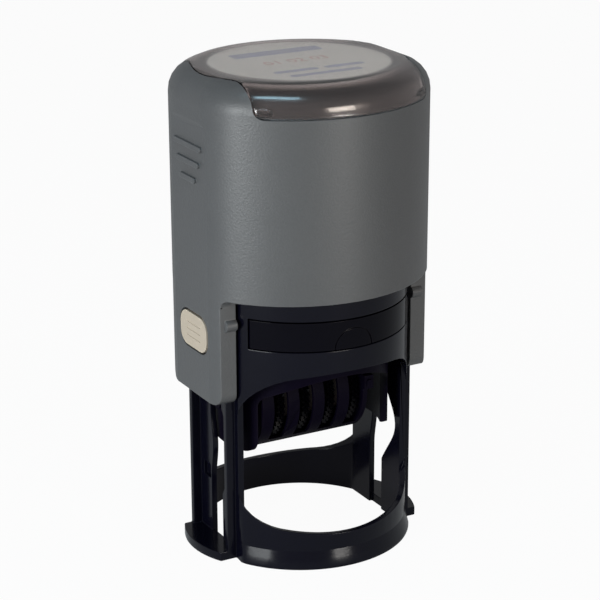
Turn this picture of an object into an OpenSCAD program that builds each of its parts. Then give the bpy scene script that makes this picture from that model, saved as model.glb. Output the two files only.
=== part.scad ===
// Self-inking round date stamp. A push cap slides on a base frame and turns a die carrier over,
// from the ink pad above it to the desk below it. The carrier holds a rubber die and a four-wheel dater.
// Millimetres. Front is -Y, up is +Z, and the origin is the middle of the base ring on the desk.

/* [Stroke and fits] */
// How far the cap travels down
stroke = 36; // [34:0.5:40]
// Clearance between moving bodies
run_gap = 0.3; // [0.2:0.05:0.5]
// Radial clearance of a pin in its bore
pin_gap = 0.05; // [0.02:0.01:0.1]

/* [Base frame] */
// Gap between the carrier and the round walls
ring_room = 3; // [2:0.1:4]
// Thickness of the round walls
frame_wall = 1.5; // [1.2:0.1:2]
// Thickness of the flat side walls
side_wall = 1.5; // [1.2:0.1:2]
// Height of the base ring at its lowest
ring_h = 8.3; // [6:0.1:11]
// Radius of the hollow in the ring's upper edge
sill_r = 95; // [70:1:150]
// How far the foot of the ring flares out
ring_flare = 0.45; // [0.1:0.05:0.8]
// Height of the flare
flare_h = 4.4; // [2:0.1:6]
// Height of the straight foot under the flare
foot_h = 0.8; // [0.4:0.1:1.2]
// Radius of the lower window corners
window_low_r = 8.5; // [4:0.5:10]
// Radius of the upper window corners
window_high_r = 11.5; // [6:0.5:13]
// Radius of the arch over the window
arch_r = 80; // [60:1:120]
// Height of the wall between the window and the cassette
band_h = 5.3; // [3:0.1:7]
// Thickness of the deck under the spring
deck_t = 1.6; // [1.2:0.1:2.4]
// How far the frame reaches up inside the cap
frame_lap = 6.35; // [3:0.05:8]
// Distance of the rails from the middle, to their inner faces
rail_y = 8.2; // [7.9:0.1:8.8]
// Width of a rail
rail_w = 1.5; // [1:0.1:2]
// How far the rails stand out of the side walls
rail_reach = 2.2; // [2.2:0.1:3]
// Thickness of the foot tabs
tab_t = 2.2; // [1.5:0.1:3]
// How far the corners of the tabs stand out of the side walls
tab_reach = 4.1; // [3.4:0.1:4.5]
// How far the edge of the tabs bulges past their corners
tab_bulge = 2.4; // [1:0.1:3]
// Half width of the guide slots in the side walls
slot_half = 2.75; // [2.7:0.05:3.6]
// Height of the bulge on the rear edge of a guide slot
slot_bump = 1.1; // [0.5:0.1:1.2]
// Width of the ledges under the cassette
ledge_w = 1.6; // [1:0.1:2]
// Thickness of the ledges
ledge_t = 1.2; // [0.8:0.1:1.6]

/* [Return spring] */
// Radius of the coil at the middle of the wire
coil_r = 6; // [5.4:0.1:9]
// Radius of the spring wire
wire_r = 0.6; // [0.4:0.05:0.8]
// Number of turns
coil_turns = 8; // [5:1:11]
// Radius of the spigots inside the coil
spigot_r = 4.6; // [3:0.1:4.7]
// Height of the spigot on the frame
spigot_h = 6; // [3:0.5:7]
// Length of the spigot under the cap's roof
boss_h = 5; // [3:0.5:6]

/* [Cap] */
// Thickness of the cap wall at the front and back
cap_wall = 2.2; // [1.8:0.1:2.4]
// Thickness of the ears
ear_wall = 3.1; // [2.8:0.1:3.4]
// How far the cap's corners stand out of the ear panels at the top
cap_step = 0.35; // [0.2:0.05:1]
// How much the cap narrows on each side from top to ear
cap_draft = 0.1; // [0:0.05:0.3]
// Radius of the cap's corners in plan
corner_r = 18; // [16:0.1:19]
// Radius of the cap's front and back in plan
front_r = 32.2; // [32:0.1:36]
// Distance of the corner circles from the middle plane
cap_flat = 5.3; // [5:0.1:6.5]
// Radius of the cap's top edges
cap_round = 6.5; // [5:0.1:8]
// Height of the front edge over the cassette
lip_gap = 4.75; // [3:0.05:8]
// Radius of the corners between the front edge and the ears
lip_r = 2.2; // [1:0.1:3]
// Gap between the ears and the foot tabs at full stroke
ear_gap = 1.6; // [0.8:0.1:4]
// Thickness of the flanges along the ears
flange_t = 2; // [1:0.1:2.4]
// Gap between a flange and its rail
flange_gap = 0.4; // [0.3:0.05:0.8]
// How far a flange reaches in from the ear
flange_reach = 2; // [1.5:0.1:2.2]
// Radius of the lower corners of the ears
ear_corner = 2.8; // [1:0.1:4]
// Gap between the frame and the roof at full stroke
roof_gap = 3.3; // [2:0.1:8]
// Thickness of the roof
roof_t = 2; // [1.6:0.1:3]
// Height of the lowest grip rib over the front edge
grip_rise = 25.85; // [15:0.05:28]
// Spacing of the grip ribs
grip_pitch = 3.85; // [3:0.05:5]
// Width of a grip rib
grip_w = 1.3; // [0.8:0.1:1.8]
// How far a grip rib stands out
grip_out = 0.7; // [0.3:0.05:0.8]
// Lengths of the grip ribs, lowest first
grip_lengths = [7.6, 11.3, 13.7];
// Radius of the small rib on each front flange
thumb_r = 1.4; // [0.8:0.1:2]
// Length of the small rib
thumb_l = 2.8; // [1.5:0.1:3]

/* [Top cover] */
// Thickness of the clear cover
cover_t = 1.5; // [1:0.1:1.8]
// Gap between the cover and the cap
cover_gap = 0.2; // [0.1:0.05:0.3]
// Half width of the cover's skirts
skirt_x = 21.8; // [20:0.1:23]
// How far the skirts hang down
skirt_h = 7.1; // [6:0.1:10]
// Radius of the lower corners of the skirts
skirt_corner = 2; // [1:0.1:4]
// Radius of the cover's round sides
cover_r = 24.6; // [24:0.1:27]
// Radius of the sweep from the round sides into the skirts
sweep_r = 8; // [4:0.5:12]
// Radius of the index card
card_r = 21; // [18:0.5:22]
// Thickness of the index card
card_t = 0.3; // [0.1:0.05:0.3]

/* [Lock buttons] */
// Length of a button
button_l = 13.3; // [10:0.1:13.6]
// Height of a button
button_h = 8.3; // [6:0.1:10]
// Corner radius of a button
button_corner = 3.3; // [1:0.1:4]
// How far a button sits in front of the middle of its ear
button_y = 0.65; // [0:0.05:1]
// Gap round a button
button_gap = 0.45; // [0.3:0.05:0.5]
// How far a button stands out of its ear
button_out = 0.1; // [0.05:0.05:1]
// How far a button pushes in
button_travel = 1.5; // [0.8:0.1:1.5]
// Height of the button over the ear's lower edge
button_rise = 15.3; // [12:0.1:18]
// Margin of the flange that keeps the button in
keeper = 0.8; // [0.7:0.05:0.9]
// Thickness of that flange
keeper_t = 1; // [0.6:0.1:1]
// Depth of the pocket in the ear for that flange
pocket = 1.3; // [1:0.1:1.6]
// Size of the lock notch in the side wall, and of the hook that faces it
notch = 3.4; // [2.5:0.1:4]
// Depth of the lock notch
notch_d = 0.9; // [0.5:0.1:1]
// Distance of the hook's middle behind the middle of the ear
hook_y = 4.9; // [4.7:0.1:5]

/* [Ink pad] */
// Gap between the pad and the die at rest
pad_gap = 4.8; // [4.4:0.1:6]
// How far the cassette's rim stands below the pad
pad_inset = 0.3; // [0.1:0.1:0.5]
// Thickness of the pad
pad_t = 4; // [3:0.1:4.4]
// Height of the cassette
cassette_h = 6.7; // [6:0.1:8]
// Radius of the finger mark on the cassette's face
mark_r = 4.9; // [3:0.1:6]
// Depth of the finger mark
mark_d = 0.3; // [0.1:0.05:0.5]

/* [Die and carrier] */
// Radius of the rubber die
die_r = 20.3; // [19:0.1:21]
// Height of the print face over the pivot
die_rise = 6.7; // [6.3:0.1:7.5]
// Thickness of the die under its relief
die_base = 1.2; // [0.8:0.1:1.4]
// Height of the relief
relief_h = 0.9; // [0.5:0.1:1]
// Width of the carrier's rim outside the die
carrier_lip = 0.6; // [0.4:0.05:1]
// Thickness of the carrier's plate
plate_t = 2; // [1.4:0.1:2.4]
// Thickness of the carrier's legs
leg_t = 1.7; // [1.2:0.1:2]
// Half width of the opening between the legs
leg_x = 17.5; // [17:0.1:18.5]
// Radius of the arch over that opening
leg_arch_r = 30; // [25:0.5:40]
// Radius of the arch's corners
leg_arch_corner = 3; // [2:0.1:5]
// How far the legs reach below the pivot
leg_drop = 16.7; // [14:0.1:17]
// Radius of the legs' lower corners
leg_corner = 4; // [2:0.1:5]
// Radius of the pivot pins
pin_r = 1.25; // [1:0.05:1.4]
// Radius of the bosses around the pins
pin_boss_r = 2.4; // [2:0.1:2.5]
// Distance of the turning lugs from the pivot
lug_arm = 6.7; // [5.5:0.1:7]
// Radius of the turning lugs
lug_r = 1.5; // [1:0.1:1.8]

/* [Dater] */
// Depth of the wheel shaft below the pivot
shaft_drop = 6.5; // [6:0.1:7.5]
// Radius of the wheel shaft
shaft_r = 1.6; // [1.2:0.1:2]
// Radius of the date wheels, over their teeth
wheel_r = 10.6; // [9.5:0.1:10.7]
// Depth of the teeth
tooth_d = 0.8; // [0.5:0.1:1]
// Number of teeth in a row
teeth = 44; // [24:1:48]
// Width of one row of teeth
row_w = 0.85; // [0.6:0.05:1]
// Distance from wheel to wheel
wheel_pitch = 6.68; // [6.4:0.02:7]
// Place of the middle of the first wheel's teeth
wheel_x = -10.7; // [-11:0.1:-10]
// Radius of the band drums
drum_r = 5.6; // [4.5:0.1:6]
// Width of a date band
band_w = 2.9; // [2:0.1:3]
// Thickness of a date band
band_t = 0.8; // [0.5:0.1:0.9]
// Half width of the band bridge
bridge_y = 2.2; // [1.6:0.1:2.4]
// Wall of the dater housing
house_wall = 0.9; // [0.7:0.1:1.4]
// Thickness of the housing's end plates
end_t = 1.2; // [0.8:0.1:1.6]
// Width of a slot to the left of its wheel's teeth
slot_left = 1.75; // [0.5:0.05:2]

/* [Hidden] */
$fn = 64;
eps = 0.01;
far = 100;

// heights, from the desk up
pivot_z = stroke + die_rise;
die_face_z = pivot_z + die_rise;
die_z = die_face_z - relief_h - die_base;
plate_z = die_z - plate_t;
pad_z = die_face_z + pad_gap;
cassette_z = pad_z - pad_inset;
opening_z = cassette_z - run_gap;
deck_z = cassette_z + cassette_h + run_gap;
deck_top = deck_z + deck_t;
window_top = opening_z - band_h;
lip_z = deck_z + lip_gap;
frame_top = lip_z + frame_lap;
roof_z = frame_top + stroke + roof_gap;
card_z = roof_z + roof_t;
cap_top = card_z + card_t + cover_gap + cover_t;
cover_z = cap_top - skirt_h;
ear_z = stroke + tab_t + ear_gap;
shoulder_z = cap_top - cap_round;
button_z = ear_z + button_rise;
hook_z = button_z - notch / 2;
shaft_z = pivot_z - shaft_drop;

// widths, from the die out
carrier_r = die_r + carrier_lip;
side_in = carrier_r + run_gap;
side_x = side_in + side_wall;
rail_x = side_x + rail_reach;
rail_out = rail_y + rail_w;
ear_in = rail_x + run_gap;
panel_x = ear_in + ear_wall;
cap_x = panel_x + cap_step;
flange_in = rail_out + flange_gap;
ear_y = flange_in + flange_t;
leg_in = carrier_r - leg_t;
ring_in = carrier_r + ring_room;
frame_r = ring_in + frame_wall;
wall_end = rail_out + 1.5;
pin_end = ear_in + 0.7;

// plan of the cap: corner circles and front arcs that meet in one tangent
corner_x = cap_x - corner_r;
front_c = sqrt(pow(front_r - corner_r, 2) - pow(corner_x, 2)) - cap_flat;
cap_turn = atan2(corner_x, cap_flat + front_c);
front_steps = 14;
corner_steps = 10;
round_steps = 6;

// dater
drum_w = band_w + 0.4;
house_r = wheel_r + run_gap + house_wall;
house_x0 = wheel_x - row_w - drum_w - run_gap - end_t;
house_x1 = wheel_x + 3 * wheel_pitch + row_w + run_gap + end_t;
drum_gap = 0.15;
band_in = drum_r + drum_gap;
band_turn_r = 0.5;
band_top = die_face_z - band_t - band_turn_r;
band_side = bridge_y + 0.1;
bridge_top = die_face_z - band_t - 0.2;
bridge_z = shaft_z + wheel_r + run_gap;

black = "#17171a";
grey = "#5d6164";
dark_brown = "#2a2427";
steel = "#b9bcc0";

// points of an arc about c, from angle a0 to a1 in n steps, with the last skip points left out
function arc(c, r, a0, a1, n, skip = 0) =
    [for (i = [0:n - skip]) let (a = a0 + (a1 - a0) * i / n) [c[0] + r * cos(a), c[1] + r * sin(a)]];

// a rectangle from -x to x and -y to y with round corners
function rounded(x, y, r) = concat(
    arc([x - r, y - r], r, 0, 90, 8),
    arc([r - x, y - r], r, 90, 180, 8),
    arc([r - x, r - y], r, 180, 270, 8),
    arc([x - r, r - y], r, 270, 360, 8));

// the upper edge of an arched opening from x to -x, with round corners
function arched(x, r, top, corner) =
    let (cx = x - corner, az = top - r)
    let (cz = az + sqrt(pow(r - corner, 2) - pow(cx, 2)), t = atan2(cx, cz - az))
    concat(arc([cx, cz], corner, 0, 90 - t, 8, 1),
        arc([0, az], r, 90 - t, 90 + t, 12, 1),
        arc([-cx, cz], corner, 90 + t, 180, 8));

// a plan outline drawn upright: along X with Y and Z as its sides, or along Y with X and Z
module along_x(x0, x1) {
    translate([x0, 0, 0]) rotate([90, 0, 90]) linear_extrude(x1 - x0) children();
}
module along_y(y0, y1) {
    translate([0, y1, 0]) rotate([90, 0, 0]) linear_extrude(y1 - y0) children();
}
module rod_x(r, x0, x1) {
    translate([x0, 0, 0]) rotate([0, 90, 0]) cylinder(r = r, h = x1 - x0);
}
// a block between two corners
module block(a, b) {
    translate(a) cube(b - a);
}
module both_sides() {
    children();
    mirror([1, 0, 0]) children();
}
// a solid through rings of equally many points, lowest ring first
module loft(rings) {
    m = len(rings[0]);
    n = len(rings);
    walls = [for (i = [0:n - 2], j = [0:m - 1]) let (a = i * m + j, b = i * m + (j + 1) % m)
        each [[a, a + m, b + m], [a, b + m, b]]];
    polyhedron([for (ring = rings) each ring],
        concat([[for (j = [0:m - 1]) j]], walls, [[for (j = [m - 1:-1:0]) (n - 1) * m + j]]));
}

// the frame

module frame_plan(r, half_x) {
    intersection() {
        circle(r);
        square([2 * half_x, 2 * r + 1], center = true);
    }
}
// the window: an arch above, a shallow hollow below, and round corners, cut out of the round walls
window_x = side_x + 0.1;
window_low_x = window_x - window_low_r;
sill_z = ring_h + sill_r;
window_low_z = sill_z - sqrt(pow(sill_r - window_low_r, 2) - pow(window_low_x, 2));
sill_turn = atan2(window_low_x, sill_z - window_low_z);
window_outline = concat(
    arc([0, sill_z], sill_r, 270 - sill_turn, 270 + sill_turn, 12, 1),
    arc([window_low_x, window_low_z], window_low_r, 270 + sill_turn, 360, 8),
    arched(window_x, arch_r, window_top, window_high_r),
    arc([-window_low_x, window_low_z], window_low_r, 180, 270 - sill_turn, 8, 1));

// the guide slot: straight for the pivot pin, with a bay in front for the lug that turns the carrier
lug_steps = 36;
lug_rad = PI / 180;
function lug_at(a) = [-lug_arm * sin(a), pivot_z - stroke * a / 180 - lug_arm * cos(a)];
function lug_way(a) = [-lug_arm * cos(a) * lug_rad, lug_arm * sin(a) * lug_rad - stroke / 180];
function bay_at(a) = let (w = lug_way(a)) lug_at(a) + (lug_r + 2 * run_gap) * [w[1], -w[0]] / norm(w);
slot_high = pivot_z + pin_r + run_gap;
bump_mid = pivot_z - stroke / 2;
bump_half = stroke / 4;
slot_outline = concat(
    [[-slot_half, slot_high], [-slot_half, -1], [slot_half, -1]],
    [for (i = [0:lug_steps]) let (t = i / lug_steps)
        [slot_half - slot_bump * (1 - cos(360 * t)) / 2, bump_mid + bump_half * (2 * t - 1)]],
    [[slot_half, slot_high]]);
bay_outline = concat([[0, pivot_z - lug_arm]],
    [for (i = [0:lug_steps]) bay_at(180 * i / lug_steps)],
    [[0, pivot_z - stroke + lug_arm]]);

tab_corner_x = side_x + tab_reach;
tab_arc_r = (pow(rail_out, 2) + pow(tab_bulge, 2)) / (2 * tab_bulge);
tab_arc_x = tab_corner_x + tab_bulge - tab_arc_r;
tab_turn = asin(rail_out / tab_arc_r);
tab_outline = concat([[side_in + side_wall / 2, rail_out], [side_in + side_wall / 2, -rail_out]],
    arc([tab_arc_x, 0], tab_arc_r, -tab_turn, tab_turn, 12));

module base_frame() {
    color(black) {
        difference() {
            union() {
                linear_extrude(frame_top) frame_plan(frame_r, side_x);
                intersection() {
                    union() {
                        cylinder(r = frame_r + ring_flare, h = foot_h);
                        translate([0, 0, foot_h])
                            cylinder(r1 = frame_r + ring_flare, r2 = frame_r, h = flare_h - foot_h);
                    }
                    block([-side_x, -far, 0], [side_x, far, flare_h]);
                }
            }
            translate([0, 0, -1]) linear_extrude(deck_z + 1) frame_plan(ring_in, side_in);
            translate([0, 0, deck_top]) linear_extrude(far) frame_plan(ring_in, side_in);
            along_y(-far, -wall_end) polygon(window_outline);
            along_y(wall_end, far) polygon(window_outline);
            block([-side_in, -far, opening_z], [side_in, 0, deck_z]);
            both_sides() {
                along_x(side_in - 1, side_x + 1) polygon(slot_outline);
                along_x(side_in - 1, side_x + 1) polygon(bay_outline);
                block([side_x - notch_d, hook_y - notch / 2, hook_z - stroke - notch / 2],
                    [side_x + 1, hook_y + notch / 2, hook_z - stroke + notch / 2]);
            }
        }
        both_sides() {
            for (s = [-1, 1])
                block([side_in + side_wall / 2, min(s * rail_y, s * rail_out), 0],
                    [rail_x, max(s * rail_y, s * rail_out), frame_top - 2]);
            linear_extrude(tab_t) polygon(tab_outline);
            block([side_in - ledge_w, -rail_out, opening_z - ledge_t],
                [side_in + side_wall / 2, rail_out, opening_z]);
        }
        translate([0, 0, deck_z + deck_t / 2]) cylinder(r = spigot_r, h = spigot_h + deck_t / 2);
    }
}

// the ink pad and its cassette

cassette_x = side_in - run_gap;
pad_r = die_r;

module pad_cassette() {
    color(black) difference() {
        translate([0, 0, cassette_z]) linear_extrude(cassette_h) intersection() {
            square([2 * cassette_x, far], center = true);
            union() {
                circle(ring_in - run_gap);
                intersection() {
                    circle(frame_r);
                    translate([-far, -far]) square([2 * far, far]);
                }
            }
        }
        translate([0, 0, cassette_z - 1]) cylinder(r = pad_r + pin_gap, h = pad_inset + pad_t + 1);
        // a shallow half ring pressed into the middle of the front face
        difference() {
            along_y(-far, 0) translate([0, cassette_z]) circle(mark_r);
            along_y(-far, 0) translate([0, cassette_z]) circle(mark_r - mark_d);
            translate([0, 0, cassette_z - 1]) cylinder(r = frame_r - mark_d, h = cassette_h + 2);
        }
    }
}

module ink_pad() {
    color("#2d2f45") translate([0, 0, pad_z]) cylinder(r = pad_r, h = pad_t);
}

// the cap

function cap_outline(d) = concat(
    arc([0, front_c], front_r - d, 270 - cap_turn, 270 + cap_turn, front_steps, 1),
    arc([corner_x, -cap_flat], corner_r - d, 270 + cap_turn, 360, corner_steps),
    arc([corner_x, cap_flat], corner_r - d, 0, 90 - cap_turn, corner_steps, 1),
    arc([0, -front_c], front_r - d, 90 - cap_turn, 90 + cap_turn, front_steps, 1),
    arc([-corner_x, cap_flat], corner_r - d, 90 + cap_turn, 180, corner_steps),
    arc([-corner_x, -cap_flat], corner_r - d, 180, 270 - cap_turn, corner_steps, 1));
function cap_ring(d, z) = [for (p = cap_outline(d)) [p[0], p[1], z]];
function draft_at(z) = cap_draft * (shoulder_z - z) / (shoulder_z - ear_z);
// the cap's outer form, set in by d, from z0 up to top
module cap_form(d, z0, top) {
    r = max(cap_round - d, 1);
    loft(concat([cap_ring(d + draft_at(z0), z0)],
        [for (i = [0:round_steps]) let (a = 90 * i / round_steps)
            cap_ring(d + r * (1 - cos(a)), top - r + r * sin(a))]));
}
// the corner that the sweep fills between a round side and a skirt
function sweep_outline(g) =
    let (x = skirt_x + sweep_r, y = sqrt(pow(cover_r + sweep_r, 2) - pow(x, 2)))
    concat(arc([x, y], sweep_r - g, 180, 180 + atan2(y, x), 8), [[skirt_x - 2, y - 1]]);
// the part of the form that the cover takes up, grown by g
module cover_zone(g) {
    along_y(-far, far) translate([0, cover_z - g + far / 2])
        polygon(concat([[skirt_x + g, far / 2], [-skirt_x - g, far / 2]],
            arc([-skirt_x - g + skirt_corner, skirt_corner - far / 2], skirt_corner, 180, 270, 8),
            arc([skirt_x + g - skirt_corner, skirt_corner - far / 2], skirt_corner, 270, 360, 8)));
    translate([0, 0, cover_z - g]) {
        cylinder(r = cover_r + g, h = far);
        for (s = [0, 1]) mirror([0, s, 0]) both_sides() linear_extrude(far) polygon(sweep_outline(g));
    }
}

scoop_r = 6;
scoop_z = cover_z - 4.8;
panel_cut = concat([[panel_x, ear_z - 1], [panel_x + scoop_r, ear_z - 1]],
    arc([panel_x + scoop_r, scoop_z], scoop_r, 90, 180, 8));
ear_cut = concat([[far, lip_z]], arc([ear_y + lip_r, lip_z - lip_r], lip_r, 90, 180, 8),
    arc([ear_y - ear_corner, ear_z + ear_corner], ear_corner, 0, -90, 8),
    [[ear_y - ear_corner, ear_z - 1], [far, ear_z - 1]]);
core_d = cover_t + cover_gap;
grip_z = lip_z + grip_rise;

module button_shape(g) {
    translate([-button_y, button_z]) polygon(rounded(button_l / 2 + g, button_h / 2 + g, button_corner + g));
}

module cap_shell() {
    color(grey) {
        difference() {
            union() {
                difference() {
                    union() {
                        difference() {
                            cap_form(0, ear_z, cap_top);
                            cover_zone(cover_gap);
                        }
                        cap_form(core_d, cover_z - 2, card_z);
                    }
                    intersection() {
                        cap_form(cap_wall, ear_z - 1, roof_z);
                        block([-ear_in, -far, 0], [ear_in, far, far + stroke]);
                    }
                }
                both_sides() {
                    for (s = [-1, 1])
                        block([ear_in - flange_reach, min(s * flange_in, s * ear_y), ear_z],
                            [ear_in + ear_wall / 2, max(s * flange_in, s * ear_y), lip_z + flange_t]);
                    translate([0, 0, pivot_z]) rod_x(pin_boss_r, side_x + run_gap, ear_in + ear_wall / 2);
                }
                translate([0, 0, roof_z - boss_h]) cylinder(r = spigot_r, h = boss_h + roof_t / 2);
            }
            for (s = [0, 1]) mirror([0, s, 0]) along_x(-far, far) polygon(ear_cut);
            both_sides() {
                along_y(-far, far) polygon(panel_cut);
                along_x(ear_in - 1, far) button_shape(button_gap);
                along_x(ear_in - 1, ear_in + pocket) button_shape(keeper + run_gap);
                translate([0, 0, pivot_z]) rod_x(pin_r + pin_gap, 0, pin_end);
            }
        }
        both_sides() {
            for (i = [0:len(grip_lengths) - 1])
                translate([0, 0, grip_z + i * grip_pitch]) along_x(panel_x - grip_out, panel_x + grip_out)
                    polygon(rounded(grip_lengths[i] / 2, grip_w / 2, grip_w / 2 - eps));
            translate([0, -ear_y + thumb_r / 4, lip_z - lip_gap - run_gap - thumb_r])
                rod_x(thumb_r, ear_in - flange_reach, ear_in - flange_reach + thumb_l);
        }
    }
}

module top_cover() {
    color("#6b5d55") difference() {
        intersection() {
            cap_form(0, cover_z - 1, cap_top);
            cover_zone(0);
        }
        cap_form(cover_t, cover_z - 2, cap_top - cover_t);
    }
}

module index_card() {
    color("#d8cfc2") translate([0, 0, card_z]) cylinder(r = card_r, h = card_t);
}

keeper_x = ear_in + pocket - run_gap;
hook_end = side_x + run_gap + button_travel;
line_w = 0.35;

// a button in the right ear
module lock_button() {
    difference() {
        along_x(keeper_x - eps, panel_x + button_out) button_shape(0);
        for (i = [-1:1])
            translate([panel_x + button_out, -button_y, button_z + i * button_h / 5])
                cube([line_w, button_l / 2, line_w], center = true);
    }
    along_x(keeper_x - keeper_t, keeper_x) button_shape(keeper);
    block([hook_end, hook_y - notch / 2 + run_gap, hook_z - notch / 2 + run_gap],
        [keeper_x - keeper_t + eps, hook_y + notch / 2 - run_gap, hook_z + notch / 2 - run_gap]);
}
module lock_button_left() {
    color("#d9cdb4") mirror([1, 0, 0]) lock_button();
}
module lock_button_right() {
    color("#d9cdb4") lock_button();
}

// the return spring: one unbroken wire, wound as a helix

curl_steps = 8;
wire_sides = 6;
coil_low = deck_top + wire_r + 0.1;
coil_high = roof_z - wire_r - 0.1;
coil_n = coil_turns * curl_steps;
coil_rise = (coil_high - coil_low) / coil_n;
function coil_at(i) = [coil_r * cos(360 * i / curl_steps), coil_r * sin(360 * i / curl_steps),
    coil_low + coil_rise * i];
function wire_ring(i) = let (a = 360 * i / curl_steps)
    [for (k = [0:wire_sides - 1]) let (b = 360 * k / wire_sides)
        coil_at(i) + wire_r * [cos(b) * cos(a), cos(b) * sin(a), sin(b)]];
coil_self_gap = min([for (i = [0:coil_n - curl_steps], j = [curl_steps - 1:curl_steps + 1])
    if (i + j <= coil_n) norm(coil_at(i) - coil_at(i + j)) - 2 * wire_r]);
echo(least_gap_between_spring_turns = coil_self_gap);

module return_spring() {
    color(steel) loft([for (i = [coil_n:-1:0]) wire_ring(i)]);
}

// the pivot pins between the ears and the carrier

module pivot_pin() {
    translate([0, 0, pivot_z]) rod_x(pin_r, leg_in - leg_t + run_gap, pin_end - run_gap);
}
module pivot_pin_left() {
    color(steel) mirror([1, 0, 0]) pivot_pin();
}
module pivot_pin_right() {
    color(steel) pivot_pin();
}

// the die carrier: a plate with an arched skirt, and two round legs that hang on the pivot pins

leg_z = pivot_z - leg_drop;
leg_y = sqrt(pow(carrier_r, 2) - pow(leg_x, 2));
leg_arch = concat(arched(leg_x, leg_arch_r, plate_z, leg_arch_corner),
    [[-leg_x, leg_z - 1], [leg_x, leg_z - 1]]);
leg_cut = concat([[leg_y + 1, leg_z + leg_corner], [leg_y + 1, leg_z - 1], [leg_y - leg_corner, leg_z - 1]],
    arc([leg_y - leg_corner, leg_z + leg_corner], leg_corner, 270, 360, 8));
// room in the plate for the tops of the wheels
well_y = sqrt(pow(house_r, 2) - pow(plate_z - shaft_z, 2)) - house_wall;

module die_carrier() {
    color(dark_brown) difference() {
        union() {
            difference() {
                translate([0, 0, leg_z]) cylinder(r = carrier_r, h = die_z - leg_z);
                translate([0, 0, leg_z - 1]) cylinder(r = leg_in, h = plate_z - leg_z + 1);
                along_y(-far, far) polygon(leg_arch);
                for (s = [0, 1]) mirror([0, s, 0]) along_x(-far, far) polygon(leg_cut);
            }
            both_sides() {
                translate([0, 0, pivot_z]) rod_x(pin_boss_r, leg_in - leg_t, leg_in + leg_t / 2);
                translate([0, 0, pivot_z - lug_arm]) rod_x(lug_r, leg_in, side_x - run_gap);
            }
        }
        block([house_x0 - run_gap, -well_y, plate_z - 1], [house_x1 + run_gap, well_y, die_z + 1]);
        both_sides() translate([0, 0, pivot_z]) rod_x(pin_r + pin_gap, 0, carrier_r + 1);
    }
}

// the rubber die: a ring and plain bars in relief, and a window for the date bands

relief_z = die_z + die_base;
window_y = band_side + band_turn_r + band_t + run_gap;
border_r = die_r - 1;
border_w = 0.8;
bar_h = 2.2;
bar_rows = [7.4, 11.2, 14.6];
bar_halves = [13.5, 10.5, 7];

module rubber_die() {
    color("#7a3b33") difference() {
        union() {
            translate([0, 0, die_z]) cylinder(r = die_r, h = die_base);
            translate([0, 0, relief_z - eps]) linear_extrude(relief_h + eps) {
                difference() {
                    circle(border_r);
                    circle(border_r - border_w);
                }
                for (s = [-1, 1], i = [0:len(bar_rows) - 1])
                    translate([-bar_halves[i], s * bar_rows[i] - bar_h / 2])
                        square([2 * bar_halves[i], bar_h]);
            }
        }
        block([house_x0 - run_gap, -window_y, die_z - 1], [house_x1 + run_gap, window_y, die_face_z + 1]);
    }
}

// the dater

function wheel_at(i) = wheel_x + i * wheel_pitch;

// a slotted half round cover with an end plate at each end, and a tower on each plate for the bridge
slot_top = plate_z - 4;
slot_foot = shaft_z - 8.5;
slot_rear = -3;
tab_h = 3.4;
tab_out = 0.7;
module dater_housing() {
    color(dark_brown) difference() {
        union() {
            difference() {
                translate([0, 0, shaft_z]) rod_x(house_r, house_x0, house_x1);
                translate([0, 0, shaft_z]) rod_x(house_r - house_wall, house_x0 + end_t, house_x1 - end_t);
                block([house_x0 - 1, -far, plate_z], [house_x1 + 1, far, far]);
            }
            for (x = [house_x0, house_x1 - end_t])
                block([x, -bridge_y, plate_z - 2], [x + end_t, bridge_y, bridge_z]);
            // a square catch with a round boss on the right end of the front
            block([house_x1 - end_t, -house_r - tab_out, shaft_z + 1],
                [house_x1 + end_t, -house_r + 2, shaft_z + 1 + tab_h]);
            along_y(-house_r - 2 * tab_out, -house_r) translate([house_x1, shaft_z + 1 + tab_h / 2])
                circle(tab_h / 4);
        }
        for (i = [0:3])
            block([wheel_at(i) - row_w - slot_left, -far, slot_foot],
                [wheel_at(i) + row_w + run_gap, slot_rear, slot_top]);
        translate([0, 0, shaft_z]) rod_x(shaft_r + pin_gap, house_x0 - 1, house_x1 + 1);
    }
}

module wheel_shaft() {
    color(steel) translate([0, 0, shaft_z]) rod_x(shaft_r, house_x0 - end_t / 2, house_x1 + end_t / 2);
}

module band_bridge() {
    color(dark_brown) block([house_x0, -bridge_y, bridge_z], [house_x1, bridge_y, bridge_top]);
}

// a row of teeth, turned by a share of a pitch
module tooth_row(turn) {
    polygon([for (i = [0:2 * teeth - 1])
        let (a = 180 * (i + 2 * turn) / teeth, r = wheel_r - tooth_d * (i % 2)) [r * cos(a), r * sin(a)]]);
}
// a thumb wheel with two staggered rows of teeth and a drum for its band
module date_wheel(i) {
    color("#3a3134") translate([wheel_at(i), 0, shaft_z]) rotate([0, 90, 0]) difference() {
        union() {
            linear_extrude(row_w) tooth_row(0);
            translate([0, 0, -row_w]) linear_extrude(row_w) tooth_row(0.5);
            translate([0, 0, -row_w - drum_w]) cylinder(r = drum_r, h = drum_w + row_w);
        }
        translate([0, 0, -far / 2]) cylinder(r = shaft_r + pin_gap, h = far);
    }
}

// the run of a band: round the drum, and over the bridge
band_lean = atan2(band_top - shaft_z, band_side)
    - acos((band_in - band_turn_r) / norm([band_side, band_top - shaft_z]));
function band_run(d) = concat(
    arc([0, shaft_z], band_in + d, 180 - band_lean, 360 + band_lean, 32),
    arc([band_side, band_top], band_turn_r + d, band_lean, 90, 6),
    arc([-band_side, band_top], band_turn_r + d, 90, 180 - band_lean, 6));

module date_band(i) {
    mid = wheel_at(i) - row_w - drum_w / 2;
    color("#4a2f2b") along_x(mid - band_w / 2, mid + band_w / 2)
        difference() {
            polygon(band_run(band_t));
            polygon(band_run(0));
        }
}

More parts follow.
